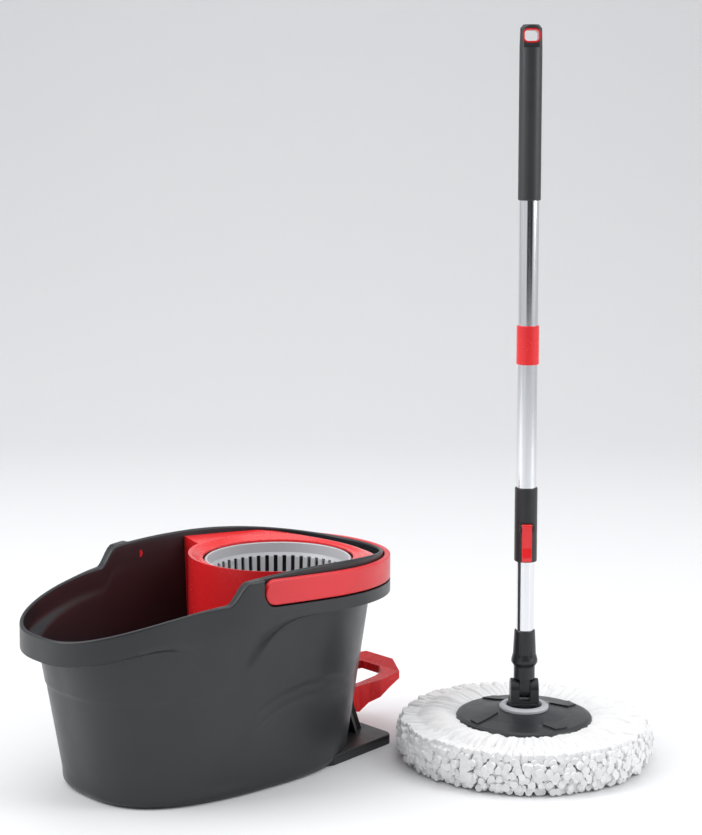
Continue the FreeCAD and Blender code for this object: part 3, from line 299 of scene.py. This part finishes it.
def rim_z(x):
    """Height of the rim along the bucket."""
    tip = RIM["widest_x"] - RIM["spout"]
    low = LOW_RIM - SPOUT_DIP * np.clip((STEP_LOW_X - x) / (STEP_LOW_X - tip), 0, 1) ** 1.5
    high = RIM_CREST - (x - RIM_CREST_X) ** 2 / (2 * RIM_ARCH_R)
    share = np.clip((x - STEP_LOW_X) / (STEP_HIGH_X - STEP_LOW_X), 0, 1)
    return low + (high - low) * smooth(share)


def shoulder_share(x):
    """How far the thick shoulder stands out: full beside the handle, gone at the low rim."""
    return smooth((x - (STEP_LOW_X - 50.0)) / (PIVOT_X - RECESS_R - 4.0 - (STEP_LOW_X - 50.0)))


def bucket_angles():
    """Angles of the columns: even steps, with pairs at the ends of the handle recess."""
    even = list(np.linspace(0, 2 * np.pi, 480, endpoint=False))
    edge_x = PIVOT_X - RECESS_R
    fine = np.linspace(np.pi / 2, np.pi, 4001)
    x, _ = outline(fine, RIM, 1.0, 0.0)
    extra = []
    for gap in (-0.35, 0.35):
        at = float(np.interp(-(edge_x + gap), -x, fine))
        extra += [at, 2 * np.pi - at]
    keep = [a for a in even if min(abs(a - e) for e in extra) > 0.004]
    return np.array(sorted(keep + extra))


FOLD_X = (-190.0, -164.0, -130.0, -95.0, -59.0, -14.0, 32.0)
FOLD_Z = (-10.0, 47.0, 90.0, 104.0, 110.0, 108.0, 101.0)
FOLD_DEPTH = 1.5
PANEL_Z = 122.0
RELIEF_MOST = 1.6


def relief(x, y, z, wall_share):
    """Inward depth of the outer wall's reliefs: an arched fold on both sides and a step near the spout."""
    line = np.interp(x, FOLD_X, FOLD_Z)
    slope = np.interp(x, (-190.0, -164.0, -130.0, -95.0, -20.0), (2.1, 1.6, 0.9, 0.25, 0.0))
    away = (z - line) / np.sqrt(1 + slope ** 2)
    ends = smooth((x + 192.0) / 12.0) * smooth((62.0 - x) / 60.0)
    groove = np.exp(-(away / 2.2) ** 2) + 0.5 * np.exp(-((away + 13.0) / 2.4) ** 2)
    below = 0.9 * smooth(-away / 3.0) * smooth((away + 40.0) / 40.0)
    step = 1.3 * smooth((PANEL_Z - z) / 4.0) * smooth((-120.0 - x) / 60.0)
    flank = smooth((np.abs(y) - 55.0) / 25.0)
    depth = ((FOLD_DEPTH * groove + below) * ends * flank + step) * wall_share
    return RELIEF_MOST * np.tanh(depth / RELIEF_MOST)


def cap_row(x, y, z):
    """Small row in the middle of a floor, at the shape of an outline."""
    return [CAP_MIDDLE_X + (x - CAP_MIDDLE_X) * CAP_SHARE, y * CAP_SHARE, np.full_like(x, z)]


def bucket_rows(angle):
    """Rows of the shell from the middle of the underside, up the outside and down the inside."""
    rim_x, _ = outline(angle, RIM, 1.0, 0.0)
    top = rim_z(rim_x)
    share = shoulder_share(rim_x)
    stand = SHOULDER * share
    run = rim_x - PIVOT_X
    ledge_bottom = PIVOT_Z - RECESS_R - SHOULDER_THICK - np.clip(run, -60, None) * BAND_SLOPE
    band_bottom = top - BAND_HEIGHT
    mix = smooth((rim_x - (STEP_LOW_X - 25)) / 50.0)
    low_edge = band_bottom * (1 - mix) + ledge_bottom * mix
    low_edge = np.where(rim_x < STEP_LOW_X - 25, band_bottom, low_edge)
    fade = np.exp(-((rim_x + 160.0) / 55.0) ** 2)
    rise = 1.6 + 70.0 * fade
    recess_half = np.sqrt(np.clip(RECESS_R ** 2 - np.clip(-run, 0, RECESS_R) ** 2, 0, None))
    recess_bottom = PIVOT_Z - recess_half - np.clip(run, 0, None) * BAND_SLOPE
    in_recess = run > -RECESS_R
    recess_bottom = np.where(in_recess, recess_bottom, np.minimum(PIVOT_Z, top - 6))
    rows = []

    def wall(z, inset=0.0):
        x, y = outline(angle, WALL_TOP, z / WALL_TOP_Z, -inset)
        rows.append([x, y, np.broadcast_to(z, x.shape).copy()])

    def rim(z, offset):
        x, y = outline(angle, RIM, 1.0, offset)
        rows.append([x, y, np.broadcast_to(z, x.shape).copy()])

    def blended(z, k, offset):
        xw, yw = outline(angle, WALL_TOP, z / WALL_TOP_Z, 0.0)
        xr, yr = outline(angle, RIM, 1.0, offset)
        rows.append([xw + (xr - xw) * k, yw + (yr - yw) * k, np.broadcast_to(z, xw.shape).copy()])

    # underside and foot ring
    foot = BASE_ROUND + FOOT_RING
    x, y = outline(angle, WALL_TOP, 0.0, -foot)
    rows.append(cap_row(x, y, FLOOR_UNDER))
    wall(np.full_like(angle, FLOOR_UNDER), foot + 1.0)
    wall(np.full_like(angle, FLOOR_UNDER - 1.0), foot)
    wall(np.full_like(angle, 0.8), foot)
    wall(np.zeros_like(angle), foot - 0.8)
    wall(np.zeros_like(angle), BASE_ROUND)
    # rounded foot
    for i in range(1, 8):
        turn = math.pi / 2 * i / 7
        z = BASE_ROUND * (1 - math.cos(turn))
        wall(np.full_like(angle, z), BASE_ROUND * (1 - math.sin(turn)))
    # wall up to the start of the band or shoulder
    start = low_edge - rise
    for i in range(1, WALL_ROWS + 1):
        wall(BASE_ROUND + (start - BASE_ROUND) * i / WALL_ROWS)
    # outwards to the band
    for i in range(1, 11):
        k = i / 10
        blended(start + (low_edge - start) * k, smooth(k), stand)
    for i in range(1, 5):
        rim(low_edge + 0.6 + (recess_bottom - 0.9 - low_edge - 0.6) * i / 4, stand)
    inner_stand = np.where(in_recess, 0.0, stand)
    rim(recess_bottom - EDGE, stand)
    rim(recess_bottom, stand - EDGE * in_recess)
    rim(recess_bottom + 0.1, inner_stand)
    for i in range(1, 5):
        rim(recess_bottom + 0.1 + (top - LIP_TOP - recess_bottom - 0.1) * i / 4, inner_stand)
    # lip
    lip_r = LIP / 2 - 0.1
    for i in range(1, 6):
        turn = math.pi / 2 * i / 5
        rim(top - LIP_TOP + LIP_TOP * math.sin(turn), inner_stand - lip_r * (1 - math.cos(turn)))
    for i in range(0, 6):
        turn = math.pi / 2 * i / 5
        rim(top - LIP_TOP + LIP_TOP * math.cos(turn), -LIP + lip_r * (1 - math.sin(turn)))
    # inside: down the band, in over the ledge, down the wall
    for i in range(1, 4):
        rim(top - LIP_TOP - (BAND_HEIGHT - 8.0) * i / 3, -LIP)
    for i in range(1, 7):
        k = smooth(np.array(i / 6.0))
        z = top - (BAND_HEIGHT - 5.8) - 12.0 * i / 6
        xw, yw = outline(angle, WALL_TOP, z / WALL_TOP_Z, -WALL)
        xr, yr = outline(angle, RIM, 1.0, -LIP)
        rows.append([xr + (xw - xr) * k, yr + (yw - yr) * k, z])
    inner_top = top - (BAND_HEIGHT - 5.8) - 12.0
    for i in range(1, 15):
        wall(inner_top + (FLOOR_TOP + FLOOR_FILLET - inner_top) * i / 14, WALL)
    for i in range(1, 6):
        turn = math.pi / 2 * i / 5
        z = FLOOR_TOP + FLOOR_FILLET * (1 - math.sin(turn))
        wall(np.full_like(angle, z), WALL + FLOOR_FILLET * (1 - math.cos(turn)))
    x, y = outline(angle, WALL_TOP, FLOOR_TOP / WALL_TOP_Z, -(WALL + FLOOR_FILLET))
    rows.append(cap_row(x, y, FLOOR_TOP))
    return rows


def mesh_from_rows(name, rows):
    """Closed mesh from rows of points: each row is a ring, and the first and last rows are capped."""
    count = len(rows[0][0])
    points = np.concatenate([np.stack(row, axis=1) for row in rows]) * MM
    faces = []
    for r in range(len(rows) - 1):
        for i in range(count):
            j = (i + 1) % count
            faces.append((r * count + i, r * count + j, (r + 1) * count + j, (r + 1) * count + i))
    faces.append(tuple(reversed(range(count))))
    last = (len(rows) - 1) * count
    faces.append(tuple(last + i for i in range(count)))
    mesh = bpy.data.meshes.new(name)
    mesh.from_pydata([tuple(p) for p in points], [], faces)
    mesh.update()
    return link(bpy.data.objects.new(name, mesh))


def link(obj):
    bpy.context.scene.collection.objects.link(obj)
    return obj


def shade(obj, degrees=32.0):
    """Smooth shading with creases kept where faces meet at more than this angle."""
    bm = bmesh.new()
    bm.from_mesh(obj.data)
    limit = math.radians(degrees)
    for face in bm.faces:
        face.smooth = True
    for edge in bm.edges:
        edge.smooth = not (len(edge.link_faces) == 2 and edge.calc_face_angle(0.0) > limit)
    bm.to_mesh(obj.data)
    bm.free()
    return obj


def box_object(name, low, high):
    size = [h - l for l, h in zip(low, high)]
    middle = [(h + l) / 2 for l, h in zip(low, high)]
    bm = bmesh.new()
    bmesh.ops.create_cube(bm, size=1.0, matrix=Matrix.Translation([m * MM for m in middle])
                          @ Matrix.Diagonal([s * MM for s in size] + [1]))
    mesh = bpy.data.meshes.new(name)
    bm.to_mesh(mesh)
    bm.free()
    return link(bpy.data.objects.new(name, mesh))


def prism_object(name, points, z0, z1):
    bm = bmesh.new()
    low = [bm.verts.new((x * MM, y * MM, z0 * MM)) for x, y in points]
    high = [bm.verts.new((x * MM, y * MM, z1 * MM)) for x, y in points]
    bm.faces.new(list(reversed(low)))
    bm.faces.new(high)
    for i in range(len(points)):
        j = (i + 1) % len(points)
        bm.faces.new((low[i], low[j], high[j], high[i]))
    bmesh.ops.recalc_face_normals(bm, faces=bm.faces)
    mesh = bpy.data.meshes.new(name)
    bm.to_mesh(mesh)
    bm.free()
    return link(bpy.data.objects.new(name, mesh))


def combine(obj, tool, operation):
    """Boolean of obj with tool, applied; the tool is removed.

    The fast solver steps in if the exact one loses most of the mesh, and if both do, the cut is left out.
    """
    before = obj.data
    for solver in ("EXACT", "FAST"):
        obj.data = before
        modifier = obj.modifiers.new("cut", "BOOLEAN")
        modifier.operation = operation
        modifier.solver = solver
        modifier.object = tool
        apply_modifiers(obj)
        if len(obj.data.vertices) > KEPT_SHARE * len(before.vertices):
            break
    else:
        obj.data = before
    bpy.data.objects.remove(tool)
    return obj


def apply_modifiers(obj):
    graph = bpy.context.evaluated_depsgraph_get()
    mesh = bpy.data.meshes.new_from_object(obj.evaluated_get(graph))
    obj.modifiers.clear()
    obj.data = mesh
    return obj


def bucket():
    angle = bucket_angles()
    rows = bucket_rows(angle)
    for index, row in enumerate(rows):
        x, y, z = row
        inside = index > OUTER_ROWS
        limit = POCKET_X - (WALL if inside else 0.0)
        pocket_top = POCKET_TOP + (WALL if inside else 0.0)
        if not inside:
            share = smooth((z - BASE_ROUND) / 14.0) * smooth((172.0 - z) / 22.0)
            depth = relief(x, y, z, share)
            centre_x = np.where(x < -90.0, -90.0, np.minimum(x, 0.0))
            length = np.hypot(x - centre_x, y) + 1e-6
            x = x - depth * (x - centre_x) / length
            y = y - depth * y / length
            row[0] = x
            row[1] = y
        flat = (z < pocket_top) & (np.abs(y) < POCKET_HALF)
        row[0] = np.where(flat, np.minimum(x, limit), x)
    shell = mesh_from_rows("bucket", rows)
    tunnel = box_object("tunnel", (TUNNEL_BACK_X, -TUNNEL_HALF, FLOOR_TOP - 1.0),
                        (POCKET_X - 1.0, TUNNEL_HALF, TUNNEL_TOP))
    combine(shell, tunnel, "UNION")
    back = TUNNEL_BACK_X + WALL
    front = POCKET_X - WALL + 0.3
    roof = TUNNEL_TOP - WALL
    side = [(back, TUNNEL_CUT_LOW), (DOORWAY_OUT_X, TUNNEL_CUT_LOW), (DOORWAY_OUT_X, DOORWAY_TOP),
            (front, DOORWAY_TOP), (front, roof), (back, roof)]
    hollow = prism_object("hollow", side, WALL - TUNNEL_HALF, TUNNEL_HALF - WALL)
    hollow.data.transform(Matrix.Rotation(math.pi / 2, 4, "X"))
    combine(shell, hollow, "DIFFERENCE")
    plate = [(-60.4, 84.4), (0.0, 101.4), (103.0, 85.4), (130.0, 77.4)]
    plate = plate + [(x, -y) for x, y in reversed(plate)]
    combine(shell, prism_object("plate_cut", plate, -3.0, PLATE_TOP), "DIFFERENCE")
    shade(shell, 35.0)
    shell.data.materials.append(MATERIALS["bucket"])
    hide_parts("bucket_body")
    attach(shell, "bucket")
    return shell


# ---------------------------------------------------------------- mop strands

def mop_centre():
    low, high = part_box("mop_strands")
    return (low + high) / 2, (high.x - low.x) / 2


def strand_curve(curve, points, radii):
    spline = curve.splines.new("NURBS")
    spline.points.add(len(points) - 1)
    for index, (point, target) in enumerate(zip(points, spline.points)):
        target.co = (*point, 1.0)
        target.radius = radii[index]
    spline.order_u = 3
    spline.use_endpoint_u = True


def mop_strands():
    """Radial strands over the disc, and a dense edge of loops down to the floor."""
    centre, reach = mop_centre()
    plate_low, plate_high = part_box("mop_plate")
    plate_r = (plate_high.x - plate_low.x) / 2
    rng = random.Random(11)
    curve = bpy.data.curves.new("mop_strands", "CURVE")
    curve.dimensions = "3D"
    curve.bevel_depth = 1.0
    curve.bevel_resolution = 2
    curve.resolution_u = 3
    curve.use_fill_caps = True
    edge = reach - 0.006

    def around(radius, turn, height):
        return (centre.x + radius * math.cos(turn), centre.y + radius * math.sin(turn), height)

    layers = ((0.0465, 210, 0.0042, 0.0), (0.0400, 190, 0.0046, 0.5))
    for height, number, size, phase in layers:
        for i in range(number):
            turn = 2 * math.pi * (i + phase + rng.uniform(-0.3, 0.3)) / number
            bend = rng.uniform(-0.06, 0.06)
            wave = rng.uniform(-0.0014, 0.0014)
            radius = size * rng.uniform(0.85, 1.2)
            end = edge * rng.uniform(0.93, 0.97)
            points = [around(plate_r - 0.012, turn, height - 0.007),
                      around(plate_r + 0.008, turn + bend * 0.2, height - 0.001 + wave),
                      around((plate_r + end) / 2, turn + bend * 0.6, height + wave * 2),
                      around(end - 0.016, turn + bend, height - 0.004 - wave),
                      around(end - 0.004, turn + bend, height - 0.011)]
            strand_curve(curve, points, [radius * 0.8, radius, radius * 1.05, radius, radius * 0.7])
    # looped ends: short fat nubs that point outwards, from the floor to the shoulder of the disc
    for ring in range(9):
        height = 0.0055 + ring * 0.0047
        bulge = math.sin(math.pi * (0.16 + 0.66 * ring / 8))
        number = 118
        for i in range(number):
            turn = 2 * math.pi * (i + 0.5 * (ring % 2) + rng.uniform(-0.3, 0.3)) / number
            out = edge - 0.012 + 0.014 * bulge + rng.uniform(-0.0035, 0.0025)
            side = rng.uniform(-0.016, 0.016)
            lift = rng.uniform(-0.002, 0.002)
            radius = 0.0041 * rng.uniform(0.85, 1.15)
            points = [around(out - 0.030, turn - side, height + lift),
                      around(out - 0.012, turn, height + lift),
                      around(out - 0.001, turn + side, height)]
            strand_curve(curve, points, [radius * 0.8, radius * 1.15, radius])
    strands = link(bpy.data.objects.new("mop_strands_curves", curve))
    graph = bpy.context.evaluated_depsgraph_get()
    mesh = bpy.data.meshes.new_from_object(strands.evaluated_get(graph))
    bpy.data.objects.remove(strands)
    return link(bpy.data.objects.new("strands", mesh))


def floor_and_backdrop():
    """A pale floor that sweeps up into a pale wall."""
    forward = Vector((math.sin(YAW), math.cos(YAW), 0))
    side = Vector((math.cos(YAW), -math.sin(YAW), 0))
    rows = []
    sweep_start, sweep_r, wall_top = 2.2, 1.6, 5.0
    profile = [(-5.0, 0.0), (-1.0, 0.0), (sweep_start, 0.0)]
    for i in range(1, 13):
        turn = math.pi / 2 * i / 12
        profile.append((sweep_start + sweep_r * math.sin(turn), sweep_r * (1 - math.cos(turn))))
    profile.append((sweep_start + sweep_r, wall_top))
    verts = []
    for distance, height in profile:
        for across in (-7.0, 7.0):
            point = forward * distance + side * across
            verts.append((point.x, point.y, height - 0.0002))
    faces = [(2 * i, 2 * i + 1, 2 * i + 3, 2 * i + 2) for i in range(len(profile) - 1)]
    mesh = bpy.data.meshes.new("floor")
    mesh.from_pydata(verts, [], faces)
    for polygon in mesh.polygons:
        polygon.use_smooth = True
    floor = link(bpy.data.objects.new("floor", mesh))
    material, nodes, links, shader = new_material("studio_floor")
    shader.inputs["Base Color"].default_value = (0.86, 0.865, 0.875, 1)
    shader.inputs["Roughness"].default_value = 0.75
    floor.data.materials.append(material)


def area_light(name, place, target, size, size_y, power, color=(1, 1, 1)):
    data = bpy.data.lights.new(name, "AREA")
    data.shape = "RECTANGLE"
    data.size = size
    data.size_y = size_y
    data.energy = power
    data.color = color
    light = link(bpy.data.objects.new(name, data))
    light.location = place
    direction = Vector(target) - Vector(place)
    light.rotation_euler = direction.to_track_quat("-Z", "Y").to_euler()


def studio_light():
    forward = Vector((math.sin(YAW), math.cos(YAW), 0))
    side = Vector((math.cos(YAW), -math.sin(YAW), 0))
    world = bpy.data.worlds.new("studio")
    world.use_nodes = True
    nodes = world.node_tree.nodes
    links = world.node_tree.links
    # pale all round, with a dark gap in the light tent on the photographer's side
    place = nodes.new("ShaderNodeTexCoord")
    dot = nodes.new("ShaderNodeVectorMath")
    dot.operation = "DOT_PRODUCT"
    dot.inputs[1].default_value = -forward + side * 0.12
    links.new(place.outputs["Generated"], dot.inputs[0])
    gap = nodes.new("ShaderNodeMapRange")
    gap.inputs["From Min"].default_value = 0.78
    gap.inputs["From Max"].default_value = 0.90
    gap.inputs["To Min"].default_value = 0.0
    gap.inputs["To Max"].default_value = 1.0
    links.new(dot.outputs["Value"], gap.inputs["Value"])
    path = nodes.new("ShaderNodeLightPath")
    seen = nodes.new("ShaderNodeMath")
    seen.operation = "SUBTRACT"
    seen.use_clamp = True
    links.new(gap.outputs["Result"], seen.inputs[0])
    links.new(path.outputs["Is Camera Ray"], seen.inputs[1])
    mix = nodes.new("ShaderNodeMix")
    mix.data_type = "RGBA"
    mix.inputs["A"].default_value = (0.97, 0.98, 1.0, 1)
    mix.inputs["B"].default_value = (0.03, 0.03, 0.035, 1)
    links.new(seen.outputs[0], mix.inputs["Factor"])
    links.new(mix.outputs["Result"], nodes["Background"].inputs["Color"])
    nodes["Background"].inputs["Strength"].default_value = 0.72
    bpy.context.scene.world = world
    middle = Vector((0, -0.05, 0.3))
    area_light("key", middle - side * 1.9 - forward * 0.4 + Vector((0, 0, 1.5)), middle, 1.2, 2.2, 34)
    area_light("fill", middle + side * 2.1 - forward * 0.6 + Vector((0, 0, 1.2)), middle, 1.0, 2.2, 22)
    area_light("top", middle + Vector((0, 0, 2.6)) + forward * 0.3, middle, 2.4, 2.4, 26)
    scene = bpy.context.scene
    scene.view_settings.view_transform = "Standard"
    scene.view_settings.look = "None"
    scene.view_settings.exposure = 0.0


# ---------------------------------------------------------------- assemble

add_camera()
studio_light()
floor_and_backdrop()
dress_nodes()
bucket()
strands = mop_strands()
strands.data.materials.clear()
strands.data.materials.append(MATERIALS["strands"])
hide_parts("mop_strands")
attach(strands, "mop_head")
